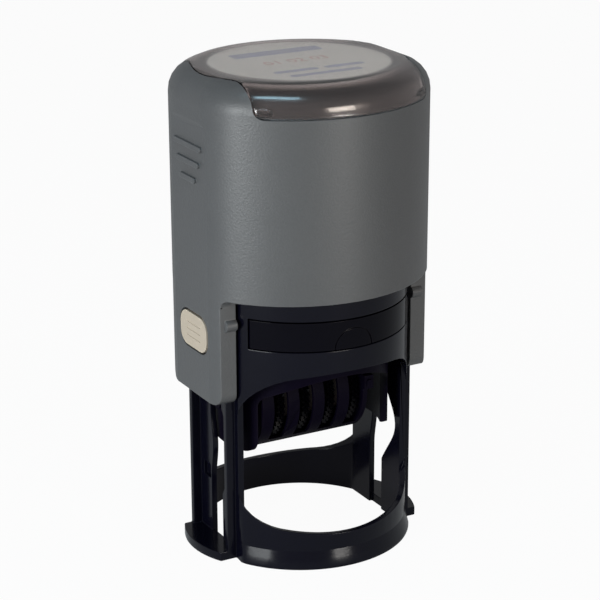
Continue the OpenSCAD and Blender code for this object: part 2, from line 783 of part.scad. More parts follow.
base_frame();
pad_cassette();
ink_pad();
cap_shell();
top_cover();
index_card();
lock_button_left();
lock_button_right();
return_spring();
pivot_pin_left();
pivot_pin_right();
die_carrier();
rubber_die();
dater_housing();
wheel_shaft();
band_bridge();
date_wheel(0);  // date_wheel_1
date_wheel(1);  // date_wheel_2
date_wheel(2);  // date_wheel_3
date_wheel(3);  // date_wheel_4
date_band(0);  // date_band_1
date_band(1);  // date_band_2
date_band(2);  // date_band_3
date_band(3);  // date_band_4
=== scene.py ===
import math

import bpy
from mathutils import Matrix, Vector


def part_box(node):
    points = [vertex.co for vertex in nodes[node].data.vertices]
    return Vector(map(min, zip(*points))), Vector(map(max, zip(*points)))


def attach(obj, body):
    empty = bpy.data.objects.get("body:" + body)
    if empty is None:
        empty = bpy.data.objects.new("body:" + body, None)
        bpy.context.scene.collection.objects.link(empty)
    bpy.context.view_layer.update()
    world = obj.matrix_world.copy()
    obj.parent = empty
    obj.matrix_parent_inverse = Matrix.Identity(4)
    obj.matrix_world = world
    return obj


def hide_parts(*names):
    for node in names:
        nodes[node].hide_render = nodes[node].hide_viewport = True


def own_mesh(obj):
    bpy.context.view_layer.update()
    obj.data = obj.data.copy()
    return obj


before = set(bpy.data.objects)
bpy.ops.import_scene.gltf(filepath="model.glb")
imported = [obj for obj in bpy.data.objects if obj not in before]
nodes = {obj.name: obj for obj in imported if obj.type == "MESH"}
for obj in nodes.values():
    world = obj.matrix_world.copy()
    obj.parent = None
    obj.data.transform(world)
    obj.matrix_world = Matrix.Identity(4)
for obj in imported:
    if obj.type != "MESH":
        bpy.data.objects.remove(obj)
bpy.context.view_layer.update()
mm = 0.001
print("frame loaded:", len(nodes), "nodes")

# small moves for node trees


def feed(tree, value, socket):
    # a number or a colour is written on the socket, and another node's output is linked to it
    if isinstance(value, (int, float, tuple)):
        socket.default_value = value
    else:
        tree.links.new(value, socket)


def objectCoords(tree):
    return tree.nodes.new("ShaderNodeTexCoord").outputs["Object"]


def mathNode(tree, operation, first, second):
    node = tree.nodes.new("ShaderNodeMath")
    node.operation = operation
    feed(tree, first, node.inputs[0])
    feed(tree, second, node.inputs[1])
    return node.outputs[0]


def noiseNode(tree, coords, scale, detail):
    noise = tree.nodes.new("ShaderNodeTexNoise")
    feed(tree, coords, noise.inputs["Vector"])
    feed(tree, scale, noise.inputs["Scale"])
    feed(tree, detail, noise.inputs["Detail"])
    return noise.outputs["Fac"]


def bumpNode(tree, height, depth):
    bump = tree.nodes.new("ShaderNodeBump")
    bump.inputs["Strength"].default_value = 1.0
    feed(tree, depth, bump.inputs["Distance"])
    feed(tree, height, bump.inputs["Height"])
    return bump.outputs["Normal"]


def spreadNode(tree, value, low, high):
    # a 0 to 1 value stretched to run from low to high
    node = tree.nodes.new("ShaderNodeMapRange")
    feed(tree, value, node.inputs["Value"])
    feed(tree, low, node.inputs["To Min"])
    feed(tree, high, node.inputs["To Max"])
    return node.outputs["Result"]


def rampNode(tree, value, start, end):
    # 0 up to the start, 1 past the end
    node = tree.nodes.new("ShaderNodeMapRange")
    feed(tree, value, node.inputs["Value"])
    feed(tree, start, node.inputs["From Min"])
    feed(tree, end, node.inputs["From Max"])
    return node.outputs["Result"]


def mixColours(tree, mask, low, high):
    mix = tree.nodes.new("ShaderNodeMix")
    mix.data_type = "RGBA"
    for slot, value in ((0, mask), (6, low), (7, high)):  # the node's factor and its two colours
        feed(tree, value, mix.inputs[slot])
    return mix.outputs[2]


def blendShaders(tree, share, first, second, output):
    blend = tree.nodes.new("ShaderNodeMixShader")
    for slot, source in enumerate((share, first, second)):
        tree.links.new(source, blend.inputs[slot])
    tree.links.new(blend.outputs[0], tree.nodes[output].inputs["Surface"])


def newPaint(name):
    paint = bpy.data.materials.new(name)
    paint.use_nodes = True
    tree = paint.node_tree
    return paint, tree, tree.nodes["Principled BSDF"]


# camera and light come before the pieces, so that every stage can be judged from the photograph's side

view = {
    "aim": (0.0, 0.0, 0.0515),
    "distance": 0.4965,
    "azimuth": -29.0,  # degrees from straight ahead, to the left of the stamp
    "elevation": 19.53,
    "roll": -0.18,
    "lens": 125.8,
    "sensor": 36.0,
    "shiftY": 0.041,
    "clipStart": 0.01,
}


def toward(azimuth, elevation):
    # the direction from the stamp, with azimuth 0 straight ahead of it
    turn = math.radians(azimuth)
    rise = math.radians(elevation)
    return Vector((math.sin(turn) * math.cos(rise), -math.cos(turn) * math.cos(rise), math.sin(rise)))


def placeCamera():
    away = toward(view["azimuth"], view["elevation"])
    bpy.ops.object.camera_add(location=Vector(view["aim"]) + away * view["distance"])
    camera = bpy.context.object
    camera.name = "photoCamera"
    camera.rotation_euler = (-away).to_track_quat("-Z", "Y").to_euler()
    camera.rotation_euler.rotate_axis("Z", math.radians(view["roll"]))
    camera.data.lens = view["lens"]
    camera.data.sensor_width = view["sensor"]
    camera.data.shift_y = view["shiftY"]
    camera.data.clip_start = view["clipStart"]
    bpy.context.scene.camera = camera


lamps = {
    # azimuth and elevation as the stamp sees the lamp, its distance, its width and height, watts and tint
    "front": {"from": (12, 16), "away": 0.55, "size": (0.20, 0.09),
              "power": 0.66, "tint": (1.0, 0.92, 0.82)},
    "left": {"from": (-72, 6), "away": 0.55, "size": (0.25, 0.21),
             "power": 2.4, "tint": (0.95, 0.99, 1.0)},
    "top": {"from": (-45, 62), "away": 0.60, "size": (0.26, 0.085),
            "power": 0.65, "tint": (0.52, 0.84, 1.0)},
    "low": {"from": (13, -1.7), "away": 0.55, "size": (0.15, 0.032),
            "power": 0.46, "tint": (1.0, 0.97, 0.93)},
}
studio = {
    "aim": (0.0, 0.0, 0.06),
    "worldTint": (0.95, 0.97, 1.0, 1.0),
    "worldLight": 0.23,
    "white": (1.0, 1.0, 1.0, 1.0),
    "mirrored": 0.20,  # how much of the white a reflection shows
    "floorSize": 4.0,
    "floorTint": (0.72, 0.72, 0.72, 1.0),
    "floorRough": 0.9,
    "floorShare": 0.045,  # how much of the floor's own light and shadow the camera sees
}


def addLamp(name, lamp):
    direction = toward(*lamp["from"])
    bpy.ops.object.light_add(type="AREA", location=Vector(studio["aim"]) + direction * lamp["away"])
    made = bpy.context.object
    made.name = name + "Lamp"
    made.data.shape = "RECTANGLE"
    made.data.size, made.data.size_y = lamp["size"]
    made.data.energy = lamp["power"]
    made.data.color = lamp["tint"]
    made.rotation_euler = (-direction).to_track_quat("-Z", "Y").to_euler()


def seenBackground(tree):
    # 1 where the camera or a view through the cover meets the background, and a share for a reflection
    path = tree.nodes.new("ShaderNodeLightPath").outputs
    glint = mathNode(tree, "MULTIPLY", path["Is Glossy Ray"], studio["mirrored"])
    direct = mathNode(tree, "MAXIMUM", path["Is Camera Ray"], glint)
    return mathNode(tree, "MAXIMUM", direct, path["Is Transmission Ray"])


def lightWorld():
    world = bpy.data.worlds.new("studioWorld")
    bpy.context.scene.world = world
    world.use_nodes = True
    tree = world.node_tree
    soft = tree.nodes["Background"]
    soft.inputs["Color"].default_value = studio["worldTint"]
    soft.inputs["Strength"].default_value = studio["worldLight"]
    white = tree.nodes.new("ShaderNodeBackground")
    white.inputs["Color"].default_value = studio["white"]
    blendShaders(tree, seenBackground(tree), soft.outputs[0], white.outputs[0], "World Output")


def layFloor():
    bpy.ops.mesh.primitive_plane_add(size=studio["floorSize"], location=(0, 0, 0))
    floor = bpy.context.object
    floor.name = "studioFloor"
    paint, tree, shader = newPaint("paleFloor")
    shader.inputs["Base Color"].default_value = studio["floorTint"]
    shader.inputs["Roughness"].default_value = studio["floorRough"]
    glow = tree.nodes.new("ShaderNodeEmission")
    share = mathNode(tree, "MULTIPLY", seenBackground(tree), 1.0 - studio["floorShare"])
    blendShaders(tree, share, shader.outputs[0], glow.outputs[0], "Material Output")
    floor.data.materials.append(paint)


placeCamera()
for lampName, lampValues in lamps.items():
    addLamp(lampName, lampValues)
lightWorld()
layFloor()
bpy.context.scene.view_settings.view_transform = "Standard"
print("camera, lamps and floor placed")

# effects that several finishes share, each one a node group


def newGroup(name, inputs, outputs):
    group = bpy.data.node_groups.new(name, "ShaderNodeTree")
    for label, kind, value in inputs:
        group.interface.new_socket(name=label, in_out="INPUT", socket_type=kind).default_value = value
    for label, kind in outputs:
        group.interface.new_socket(name=label, in_out="OUTPUT", socket_type=kind)
    return group, group.nodes.new("NodeGroupInput").outputs, group.nodes.new("NodeGroupOutput").inputs


grainLook = {"detail": 2.0, "share": 0.4, "patchScale": 90.0, "patchDetail": 3.0, "patchShare": 0.6}


def mouldGrainGroup():
    # the fine sparked texture of a moulded surface, and how its gloss wanders
    group, enter, leave = newGroup(
        "mouldGrain",
        [("Scale", "NodeSocketFloat", 2600.0), ("Depth", "NodeSocketFloat", 0.02 * mm),
         ("Gloss Low", "NodeSocketFloat", 0.35), ("Gloss High", "NodeSocketFloat", 0.5)],
        [("Normal", "NodeSocketVector"), ("Roughness", "NodeSocketFloat")])
    coords = objectCoords(group)
    grain = noiseNode(group, coords, enter["Scale"], grainLook["detail"])
    patch = noiseNode(group, coords, grainLook["patchScale"], grainLook["patchDetail"])
    group.links.new(bumpNode(group, grain, enter["Depth"]), leave["Normal"])
    fine = mathNode(group, "MULTIPLY", grain, grainLook["share"])
    broad = mathNode(group, "MULTIPLY", patch, grainLook["patchShare"])
    mixed = mathNode(group, "ADD", fine, broad)
    group.links.new(spreadNode(group, mixed, enter["Gloss Low"], enter["Gloss High"]), leave["Roughness"])
    return group


driftLook = {"middle": 0.5, "cloudScale": 45.0, "cloudDetail": 2.0,
             "speckleScale": 1900.0, "speckleDetail": 1.0}


def toneDriftGroup():
    # a colour that is never quite the same twice: slow clouds and a fine speckle
    group, enter, leave = newGroup(
        "toneDrift",
        [("Tone", "NodeSocketColor", (0.5, 0.5, 0.5, 1.0)), ("Drift", "NodeSocketFloat", 0.1),
         ("Speckle", "NodeSocketFloat", 0.05)],
        [("Color", "NodeSocketColor")])
    coords = objectCoords(group)
    cloud = noiseNode(group, coords, driftLook["cloudScale"], driftLook["cloudDetail"])
    speckle = noiseNode(group, coords, driftLook["speckleScale"], driftLook["speckleDetail"])
    level = 1.0
    for noise, amount in ((cloud, "Drift"), (speckle, "Speckle")):
        sway = mathNode(group, "SUBTRACT", noise, driftLook["middle"])
        level = mathNode(group, "ADD", mathNode(group, "MULTIPLY", sway, enter[amount]), level)
    shade = group.nodes.new("ShaderNodeHueSaturation")
    group.links.new(level, shade.inputs["Value"])
    group.links.new(enter["Tone"], shade.inputs["Color"])
    group.links.new(shade.outputs["Color"], leave["Color"])
    return group


rubLook = {"radius": 0.45 * mm, "samples": 4, "gain": 5.0, "breakScale": 700.0, "breakDetail": 3.0,
           "broken": (0.2, 1.2)}


def edgeRubGroup():
    # where handling has rubbed the edges: the share by which a rounded normal leaves the true one
    group, enter, leave = newGroup(
        "edgeRub",
        [("Radius", "NodeSocketFloat", 0.4 * mm), ("Amount", "NodeSocketFloat", 0.5)],
        [("Mask", "NodeSocketFloat")])
    bevel = group.nodes.new("ShaderNodeBevel")
    bevel.samples = rubLook["samples"]
    group.links.new(enter["Radius"], bevel.inputs["Radius"])
    straight = group.nodes.new("ShaderNodeNewGeometry").outputs["Normal"]
    match = group.nodes.new("ShaderNodeVectorMath")
    match.operation = "DOT_PRODUCT"
    group.links.new(bevel.outputs["Normal"], match.inputs[0])
    group.links.new(straight, match.inputs[1])
    away = mathNode(group, "SUBTRACT", 1.0, match.outputs["Value"])
    worn = mathNode(group, "MINIMUM", mathNode(group, "MULTIPLY", away, rubLook["gain"]), 1.0)
    noise = noiseNode(group, objectCoords(group), rubLook["breakScale"], rubLook["breakDetail"])
    rubbed = mathNode(group, "MULTIPLY", worn, spreadNode(group, noise, *rubLook["broken"]))
    group.links.new(mathNode(group, "MULTIPLY", rubbed, enter["Amount"]), leave["Mask"])
    return group


effects = {"mouldGrain": mouldGrainGroup(), "toneDrift": toneDriftGroup(), "edgeRub": edgeRubGroup()}


def placeGroup(tree, name, **values):
    node = tree.nodes.new("ShaderNodeGroup")
    node.node_tree = effects[name]
    for label, value in values.items():
        node.inputs[label.replace("_", " ")].default_value = value
    return node.outputs


# finishes; tones are linear

finishes = {
    "capGrey": {
        "tone": (0.074, 0.0755, 0.078, 1), "drift": 0.10, "speckle": 0.16,
        "grain": 2100.0, "depth": 0.052 * mm, "rough": (0.36, 0.48), "specular": 0.48,
        "rub": 0.30, "rubTone": (0.17, 0.175, 0.18, 1)},
    "frameBlack": {
        "tone": (0.0022, 0.0022, 0.0062, 1), "drift": 0.3, "speckle": 0.2,
        "grain": 1500.0, "depth": 0.006 * mm, "rough": (0.14, 0.21), "specular": 0.17,
        "rub": 0.30, "rubTone": (0.016, 0.016, 0.02, 1)},
    "cassetteBlack": {
        "tone": (0.0012, 0.0010, 0.0032, 1), "drift": 0.3, "speckle": 0.1,
        "grain": 900.0, "depth": 0.003 * mm, "rough": (0.08, 0.16), "specular": 0.09,
        "rub": 0.3, "rubTone": (0.014, 0.012, 0.014, 1)},
    "carrierBrown": {
        "tone": (0.0024, 0.0015, 0.0060, 1), "drift": 0.3, "speckle": 0.2,
        "grain": 1400.0, "depth": 0.010 * mm, "rough": (0.40, 0.55), "specular": 0.03,
        "rub": 0.3, "rubTone": (0.012, 0.009, 0.011, 1)},
    "wheelBrown": {
        "tone": (0.0010, 0.0008, 0.0018, 1), "drift": 0.3, "speckle": 0.2,
        "grain": 2000.0, "depth": 0.006 * mm, "rough": (0.12, 0.20), "specular": 0.12,
        "rub": 0.06, "rubTone": (0.02, 0.018, 0.02, 1)},
    "buttonCream": {
        "tone": (0.47, 0.400, 0.318, 1), "drift": 0.08, "speckle": 0.08,
        "grain": 2400.0, "depth": 0.012 * mm, "rough": (0.40, 0.52), "specular": 0.4,
        "rub": 0.15, "rubTone": (0.62, 0.55, 0.45, 1)},
    "springSteel": {
        "tone": (0.50, 0.51, 0.53, 1), "drift": 0.2, "speckle": 0.2,
        "grain": 3000.0, "depth": 0.004 * mm, "rough": (0.22, 0.36), "specular": 0.5, "metal": 1.0},
    "pinSteel": {
        "tone": (0.58, 0.58, 0.60, 1), "drift": 0.15, "speckle": 0.1,
        "grain": 2600.0, "depth": 0.003 * mm, "rough": (0.18, 0.30), "specular": 0.5, "metal": 1.0},
    "bandRubber": {
        "tone": (0.0085, 0.0060, 0.0060, 1), "drift": 0.4, "speckle": 0.4,
        "grain": 1700.0, "depth": 0.020 * mm, "rough": (0.62, 0.80), "specular": 0.15,
        "rub": 0.3, "rubTone": (0.02, 0.016, 0.016, 1)},
    "blueInk": {
        "tone": (0.075, 0.115, 0.33, 1), "drift": 0.25, "speckle": 0.5,
        "grain": 3000.0, "depth": 0.004 * mm, "rough": (0.55, 0.70), "specular": 0.3},
    "redInk": {
        "tone": (0.50, 0.10, 0.05, 1), "drift": 0.25, "speckle": 0.5,
        "grain": 3000.0, "depth": 0.004 * mm, "rough": (0.55, 0.70), "specular": 0.3},
}


def addGrain(tree, shader, look):
    low, high = look["rough"]
    grain = placeGroup(tree, "mouldGrain", Scale=look["grain"], Depth=look["depth"],
                       Gloss_Low=low, Gloss_High=high)
    tree.links.new(grain["Normal"], shader.inputs["Normal"])
    tree.links.new(grain["Roughness"], shader.inputs["Roughness"])


def mouldedFinish(name):
    look = finishes[name]
    paint, tree, shader = newPaint(name)
    tone = placeGroup(tree, "toneDrift", Tone=look["tone"], Drift=look["drift"], Speckle=look["speckle"])
    colour = tone["Color"]
    if "rub" in look:
        rub = placeGroup(tree, "edgeRub", Radius=rubLook["radius"], Amount=look["rub"])
        colour = mixColours(tree, rub["Mask"], colour, look["rubTone"])
    tree.links.new(colour, shader.inputs["Base Color"])
    addGrain(tree, shader, look)
    shader.inputs["Specular IOR Level"].default_value = look["specular"]
    shader.inputs["Metallic"].default_value = look.get("metal", 0.0)
    return paint


smoke = {
    "skirtTone": (0.38, 0.325, 0.315, 1), "drift": 0.05, "speckle": 0.0,
    # the rim's darker tint above its foot height is painted shade
    "rimShadeTone": (0.20, 0.165, 0.16, 1), "rimShadeFoot": (111.6 * mm, 113.2 * mm),
    "cardTone": (0.63, 0.590, 0.570, 1), "cardEdge": (20.6 * mm, 21.6 * mm),
    "hazeScale": 400.0, "haze": (0.03, 0.06), "rimHaze": 0.10, "ior": 1.58, "veil": 0.80,
}


def smokeFinish():
    # clear plastic with a brown smoke tint; shadow rays pass, so that the card below it is lit
    paint, tree, shader = newPaint("coverSmoke")
    skirt = placeGroup(tree, "toneDrift", Tone=smoke["skirtTone"], Drift=smoke["drift"],
                       Speckle=smoke["speckle"])
    # the flat over the card is thin and lets more light through, the thick rim round it lets less, and above
    # its foot the rim's tint is darker still, which is painted shade
    coords = objectCoords(tree)
    split = tree.nodes.new("ShaderNodeSeparateXYZ")
    tree.links.new(coords, split.inputs[0])
    flat = tree.nodes.new("ShaderNodeVectorMath")
    flat.operation = "MULTIPLY"
    flat.inputs[1].default_value = (1, 1, 0)
    tree.links.new(coords, flat.inputs[0])
    reach = tree.nodes.new("ShaderNodeVectorMath")
    reach.operation = "LENGTH"
    tree.links.new(flat.outputs[0], reach.inputs[0])
    rim = rampNode(tree, reach.outputs["Value"], *smoke["cardEdge"])
    # painted shade: the tint turns darker up the rim, from its foot height
    high = rampNode(tree, split.outputs["Z"], *smoke["rimShadeFoot"])
    tint = mixColours(tree, high, skirt["Color"], smoke["rimShadeTone"])
    tint = mixColours(tree, rim, smoke["cardTone"], tint)
    tree.links.new(tint, shader.inputs["Base Color"])
    clearest, dullest = smoke["haze"]
    haze = placeGroup(tree, "mouldGrain", Scale=smoke["hazeScale"], Gloss_Low=clearest, Gloss_High=dullest)
    blur = mathNode(tree, "MULTIPLY", rim, smoke["rimHaze"])
    tree.links.new(mathNode(tree, "ADD", haze["Roughness"], blur), shader.inputs["Roughness"])
    shader.inputs["Transmission Weight"].default_value = 1.0
    shader.inputs["IOR"].default_value = smoke["ior"]
    clear = tree.nodes.new("ShaderNodeBsdfTransparent")
    clear.inputs["Color"].default_value = [smoke["veil"]] * 3 + [1.0]
    shadow = tree.nodes.new("ShaderNodeLightPath").outputs["Is Shadow Ray"]
    blendShaders(tree, shadow, shader.outputs[0], clear.outputs[0], "Material Output")
    return paint


fibres = {
    "cardPaper": {
        "tone": (0.62, 0.575, 0.51, 1), "fleck": (0.74, 0.70, 0.635, 1), "scale": 1100.0, "detail": 6.0,
        "rough": (0.64, 0.80), "depth": 0.008 * mm, "specular": 0.25},
    "padFelt": {
        "tone": (0.010, 0.011, 0.026, 1), "fleck": (0.035, 0.036, 0.07, 1), "scale": 2600.0, "detail": 6.0,
        "rough": (0.77, 0.93), "depth": 0.06 * mm, "specular": 0.25},
}


def fibreFinish(name):
    # paper or felt: matted fibres in two tones
    look = fibres[name]
    paint, tree, shader = newPaint(name)
    fibre = noiseNode(tree, objectCoords(tree), look["scale"], look["detail"])
    tree.links.new(mixColours(tree, fibre, look["tone"], look["fleck"]), shader.inputs["Base Color"])
    tree.links.new(bumpNode(tree, fibre, look["depth"]), shader.inputs["Normal"])
    tree.links.new(spreadNode(tree, fibre, *look["rough"]), shader.inputs["Roughness"])
    shader.inputs["Specular IOR Level"].default_value = look["specular"]
    return paint


inkedRubber = {
    "bare": (0.21, 0.058, 0.046, 1), "drift": 0.3, "speckle": 0.3, "ink": (0.012, 0.013, 0.03, 1),
    "low": 0.5 * mm, "high": 0.1 * mm,  # how far below the top the ink begins and is full
    "patchScale": 350.0, "patchDetail": 4.0, "patch": (0.75, 1.1),
    "grain": 1800.0, "depth": 0.012 * mm, "rough": (0.5, 0.75),
}


def inkedFinish():
    # red rubber, inked where its relief meets the pad
    paint, tree, shader = newPaint("dieRubber")
    coords = objectCoords(tree)
    split = tree.nodes.new("ShaderNodeSeparateXYZ")
    tree.links.new(coords, split.inputs[0])
    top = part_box("rubber_die")[1].z
    level = rampNode(tree, split.outputs["Z"], top - inkedRubber["low"], top - inkedRubber["high"])
    noise = noiseNode(tree, coords, inkedRubber["patchScale"], inkedRubber["patchDetail"])
    inked = mathNode(tree, "MULTIPLY", level, spreadNode(tree, noise, *inkedRubber["patch"]))
    bare = placeGroup(tree, "toneDrift", Tone=inkedRubber["bare"], Drift=inkedRubber["drift"],
                      Speckle=inkedRubber["speckle"])
    tree.links.new(mixColours(tree, inked, bare["Color"], inkedRubber["ink"]), shader.inputs["Base Color"])
    addGrain(tree, shader, inkedRubber)
    return paint


paints = {name: mouldedFinish(name) for name in finishes}
paints["coverSmoke"] = smokeFinish()
for fibreName in fibres:
    paints[fibreName] = fibreFinish(fibreName)
paints["dieRubber"] = inkedFinish()
print("finishes made:", len(paints))

# moves that every piece uses

weldGap = 0.001 * mm
flatAngle = math.radians(0.35)


def pick(piece):
    bpy.ops.object.select_all(action="DESELECT")
    piece.select_set(True)
    bpy.context.view_layer.objects.active = piece


def editAll(piece):
    # edit mode with the whole mesh selected
    pick(piece)
    bpy.ops.object.mode_set(mode="EDIT")
    bpy.ops.mesh.select_all(action="SELECT")


def editWhere(piece, kind, chosen):
    # edit mode with only the chosen vertices, edges or faces selected
    pick(piece)
    bpy.ops.object.mode_set(mode="EDIT")
    bpy.ops.mesh.select_mode(type=kind)
    bpy.ops.mesh.select_all(action="DESELECT")
    bpy.ops.object.mode_set(mode="OBJECT")
    mesh = piece.data
    for part in {"VERT": mesh.vertices, "EDGE": mesh.edges, "FACE": mesh.polygons}[kind]:
        part.select = chosen(part)
    bpy.ops.object.mode_set(mode="EDIT")


def leaveEdit():
    bpy.ops.object.mode_set(mode="OBJECT")


def applyPlace():
    bpy.ops.object.transform_apply(location=True, rotation=True, scale=True)


def applyModifier(piece, modifier):
    pick(piece)
    bpy.ops.object.modifier_apply(modifier=modifier.name)


def edgeEnds(mesh, edge):
    return [mesh.vertices[number].co for number in edge.vertices]


def copyNode(node, name):
    # a copy of a CAD node with its triangles merged into whole faces
    piece = bpy.data.objects.new(name, nodes[node].data.copy())
    piece.data.name = name
    piece.data.materials.clear()
    bpy.context.scene.collection.objects.link(piece)
    editAll(piece)
    bpy.ops.mesh.customdata_custom_splitnormals_clear()
    bpy.ops.mesh.remove_doubles(threshold=weldGap)
    bpy.ops.mesh.dissolve_limited(angle_limit=flatAngle)
    leaveEdit()
    return piece


def softEdges(piece, width, segments=2, angle=32, clamp=False):
    bevel = piece.modifiers.new("softEdge", "BEVEL")
    bevel.limit_method = "ANGLE"
    bevel.angle_limit = math.radians(angle)
    bevel.width = width
    bevel.segments = segments
    bevel.use_clamp_overlap = clamp
    bevel.miter_outer = "MITER_ARC"
    applyModifier(piece, bevel)


def evenShade(piece, angle=34):
    pick(piece)
    bpy.ops.object.shade_smooth_by_angle(angle=math.radians(angle))
    weighted = piece.modifiers.new("evenShade", "WEIGHTED_NORMAL")
    weighted.keep_sharp = True
    applyModifier(piece, weighted)


def trueShade(piece, normalAt, facing):
    # corners that lie on a true round take its normal, where their face looks the same way
    mesh = piece.data
    normals = [corner.vector.copy() for corner in mesh.corner_normals]
    for face in mesh.polygons:
        for corner, number in zip(face.loop_indices, face.vertices):
            outward = normalAt(mesh.vertices[number].co)
            if outward is not None and face.normal.dot(outward) > facing:
                normals[corner] = outward
    mesh.normals_split_custom_set(normals)


def standFor(piece, body, slot, paint, *stoodFor):
    piece.data.materials.clear()
    piece.data.materials.append(paints[paint])
    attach(piece, body)
    if stoodFor:
        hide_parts(*stoodFor)
    print("piece ready:", piece.name, len(piece.data.polygons), "faces")


# the frame's ring

flare = {"crease": 4.4 * mm, "slack": 0.02 * mm, "belts": (2.7 * mm, 0.9 * mm), "inside": 25.3 * mm,
         "sides": 22.75 * mm, "spread": 1.010}


def spreadFlare(piece):
    # the foot of the ring kicks out a little more than the solid's, belt by belt, under a sharp crease
    def onRing(spot):
        return math.hypot(spot.x, spot.y) > flare["inside"]

    for belt in flare["belts"]:
        editWhere(piece, "VERT", lambda vertex: vertex.co.z < belt and onRing(vertex.co)
                  and abs(vertex.co.x) < flare["sides"])
        bpy.ops.transform.resize(value=(flare["spread"], flare["spread"], 1), center_override=(0, 0, 0))
        bpy.ops.mesh.select_all(action="DESELECT")
        leaveEdit()
    for edge in piece.data.edges:
        edge.use_edge_sharp = all(abs(end.z - flare["crease"]) < flare["slack"] and onRing(end)
                                  for end in edgeEnds(piece.data, edge))


# the cap's roof, panels and wall

taper = {"above": 114.95 * mm, "near": 6.8 * mm, "far": 12.0 * mm, "across": 21.9 * mm, "gap": 0.32 * mm}


def weldTaper(piece):
    # beside the cover the roof runs out into a strip too thin for a broken edge, so it is welded shut
    def onTaper(vertex):
        x, y, z = vertex.co
        return z > taper["above"] and taper["near"] < abs(y) < taper["far"] and abs(x) > taper["across"]

    editWhere(piece, "VERT", onTaper)
    bpy.ops.mesh.remove_doubles(threshold=taper["gap"])
    leaveEdit()


panel = {"side": 28.3 * mm, "slack": 0.02 * mm, "near": 7.9 * mm, "far": 9.3 * mm, "long": 0.5 * mm}


def creasePanels(piece):
    # the flat panels of the ears meet the cap's round corners at a shallow crease, which stays crisp
    for edge in piece.data.edges:
        ends = edgeEnds(piece.data, edge)
        flat = all(abs(abs(end.x) - panel["side"]) < panel["slack"] for end in ends)
        beside = all(panel["near"] < abs(end.y) < panel["far"] for end in ends)
        edge.use_edge_sharp = flat and beside and abs(ends[0].z - ends[1].z) > panel["long"]


wall = {
    "front": 32.2 * mm, "behind": 4.092 * mm,  # wide arcs: radius, and how far past the middle they centre
    "corner": 18.0 * mm, "across": 10.65 * mm, "along": 5.3 * mm,  # corner arcs: radius and centres
    "slack": 0.18 * mm, "facing": 0.993,
}
wall["turn"] = math.atan2(wall["across"], wall["along"] + wall["behind"])


def wallNormal(spot):
    # the outward direction of the arc that a place on the wall belongs to, or none away from the wall
    x, y = abs(spot.x), abs(spot.y)
    if math.atan2(x, y + wall["behind"]) < wall["turn"]:
        outward, radius = Vector((x, y + wall["behind"], 0)), wall["front"]
    else:
        outward, radius = Vector((x - wall["across"], y - wall["along"], 0)), wall["corner"]
    if abs(outward.length - radius) >= wall["slack"]:
        return None
    return Vector((math.copysign(outward.x, spot.x), math.copysign(outward.y, spot.y), 0)).normalized()


def shadeWall(piece):
    trueShade(piece, wallNormal, wall["facing"])


# the cover's clips

clips = {"near": 18.8 * mm, "far": 21.3 * mm,
         "ridges": ((108.75 * mm, 109.25 * mm), (109.55 * mm, 110.05 * mm)),  # foot and head of each
         "proud": 0.14 * mm, "edge": 0.07 * mm, "crease": 40}


def cutRidge(foot, head):
    # a short strip of the skirt, cut out of the cover and thickened
    ridge = copyNode("top_cover", "clipRidge")
    editAll(ridge)
    for place, normal in (
            ((-clips["far"], 0, 0), (-1, 0, 0)), ((-clips["near"], 0, 0), (1, 0, 0)),
            ((0, 0, foot), (0, 0, -1)), ((0, 0, head), (0, 0, 1)), ((0, 0, 0), (0, 1, 0))):
        bpy.ops.mesh.select_all(action="SELECT")
        bpy.ops.mesh.bisect(plane_co=place, plane_no=normal, use_fill=True, clear_outer=True)
    bpy.ops.mesh.select_all(action="SELECT")
    bpy.ops.transform.shrink_fatten(value=clips["proud"])
    leaveEdit()
    softEdges(ridge, clips["edge"], angle=clips["crease"])
    editAll(ridge)
    bpy.ops.mesh.remove_doubles(threshold=weldGap)
    bpy.ops.mesh.dissolve_degenerate(threshold=weldGap)
    leaveEdit()
    return ridge


def addClips(cover):
    # two ridges at each lower corner of the skirts, modelled once and copied to the other corners
    ridges = [cutRidge(foot, head) for foot, head in clips["ridges"]]
    for ridge in list(ridges):
        for across, along in ((-1, 1), (1, -1), (-1, -1)):
            twin = bpy.data.objects.new("clipRidge", ridge.data.copy())
            bpy.context.scene.collection.objects.link(twin)
            twin.scale = (across, along, 1)
            pick(twin)
            applyPlace()
            editAll(twin)
            bpy.ops.mesh.normals_make_consistent(inside=False)
            leaveEdit()
            ridges.append(twin)
    pick(cover)
    for ridge in ridges:
        ridge.select_set(True)
    bpy.ops.object.join()
    print("cover clips added:", len(ridges))


# the cassette's front

roundFront = {"radius": -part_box("pad_cassette")[0].y, "slack": 0.03 * mm, "facing": 0.99}


def frontNormal(spot):
    # the front is a round about the stamp's axis
    outward = Vector((spot.x, spot.y, 0))
    if abs(outward.length - roundFront["radius"]) >= roundFront["slack"]:
        return None
    return outward.normalized()


def shadeFront(piece):
    trueShade(piece, frontNormal, roundFront["facing"])


# moulded pieces: the CAD forms with their edges broken as the mould leaves them

moulded = {
    # node, body, slot, finish, width of the broken edges, least angle that is broken, and if clamped
    "frameBody": ("base_frame", "frame", "frame_black", "frameBlack", 0.22 * mm, 32, False),
    "capBody": ("cap_shell", "cap", "cap_grey", "capGrey", 0.18 * mm, 15.5, False),
    "coverLens": ("top_cover", "cover", "cover_smoke", "coverSmoke", 0.18 * mm, 32, False),
    "buttonLeft": ("lock_button_left", "button_left", "button_cream", "buttonCream", 0.1 * mm, 32, False),
    "buttonRight": ("lock_button_right", "button_right", "button_cream", "buttonCream", 0.1 * mm, 32, False),
    "cassetteBody": ("pad_cassette", "cassette", "cassette_black", "cassetteBlack", 0.05 * mm, 32, False),
    "carrierBody": ("die_carrier", "carrier", "carrier_brown", "carrierBrown", 0.18 * mm, 32, True),
    "daterCover": ("dater_housing", "carrier", "carrier_brown", "carrierBrown", 0.14 * mm, 32, True),
    "dieRubber": ("rubber_die", "carrier", "die_rubber", "dieRubber", 0.08 * mm, 32, False),
}
